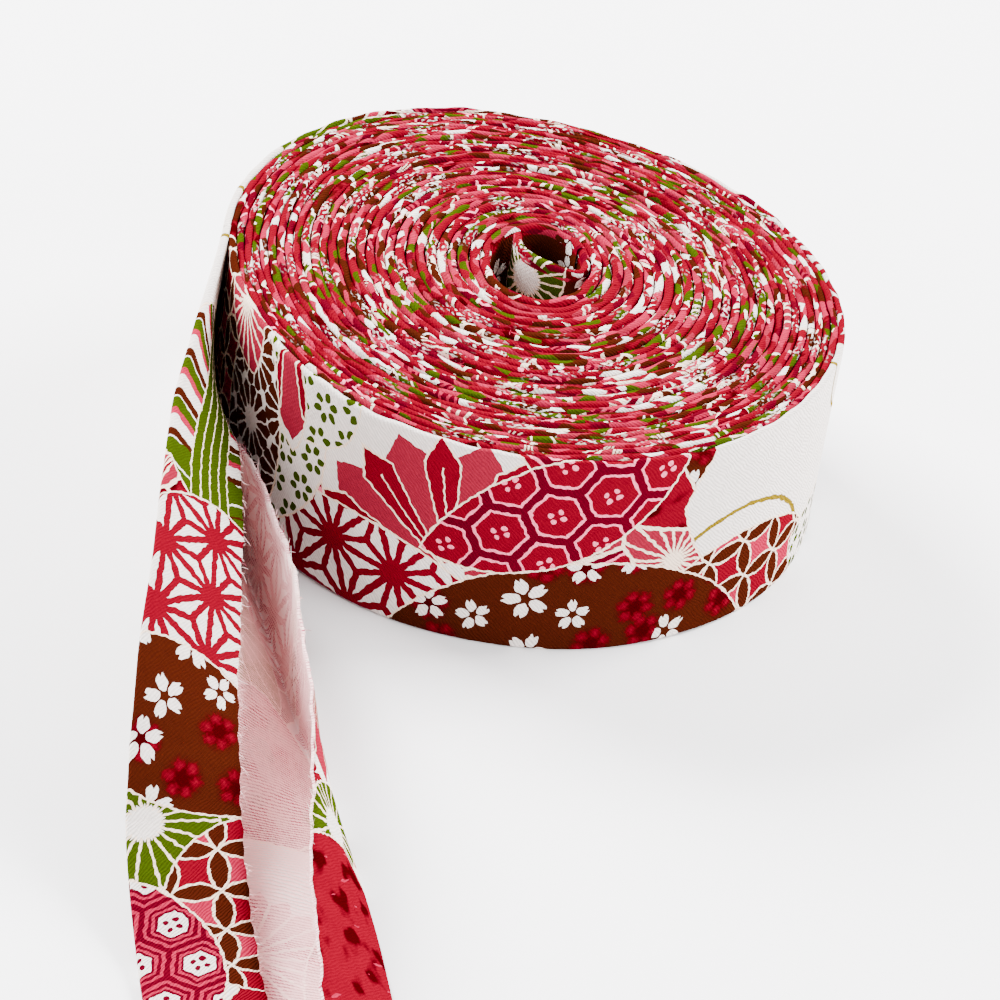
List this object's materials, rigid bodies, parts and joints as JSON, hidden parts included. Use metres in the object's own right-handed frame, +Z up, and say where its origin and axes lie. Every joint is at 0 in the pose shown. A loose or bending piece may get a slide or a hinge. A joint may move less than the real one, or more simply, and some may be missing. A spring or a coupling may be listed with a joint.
{
  "type": "roll of cotton bias tape",
  "caption": "Wound roll of printed single-fold cotton bias tape lying on its flat side, with its outer end drawn off and laid out in front.",
  "frame": {"origin": "on the resting surface, under the middle of the whole object's box", "axes": "+Z up along the roll's axis, +Y from the loose end towards the roll, +X to the right as seen from the loose end"},
  "size_m": [0.0716, 0.1592, 0.025],
  "materials": {
    "wound_cotton": "printed plain-weave cotton, folded edges of the wound turns",
    "loose_cotton": "printed plain-weave cotton, pale wrong side showing between the flaps",
    "inner_cotton": "printed plain-weave cotton"
  },
  "bodies": {
    "root": {"wound_roll": "wound_cotton", "loose_end": "loose_cotton", "inner_end": "inner_cotton"}
  },
  "joints": []
}
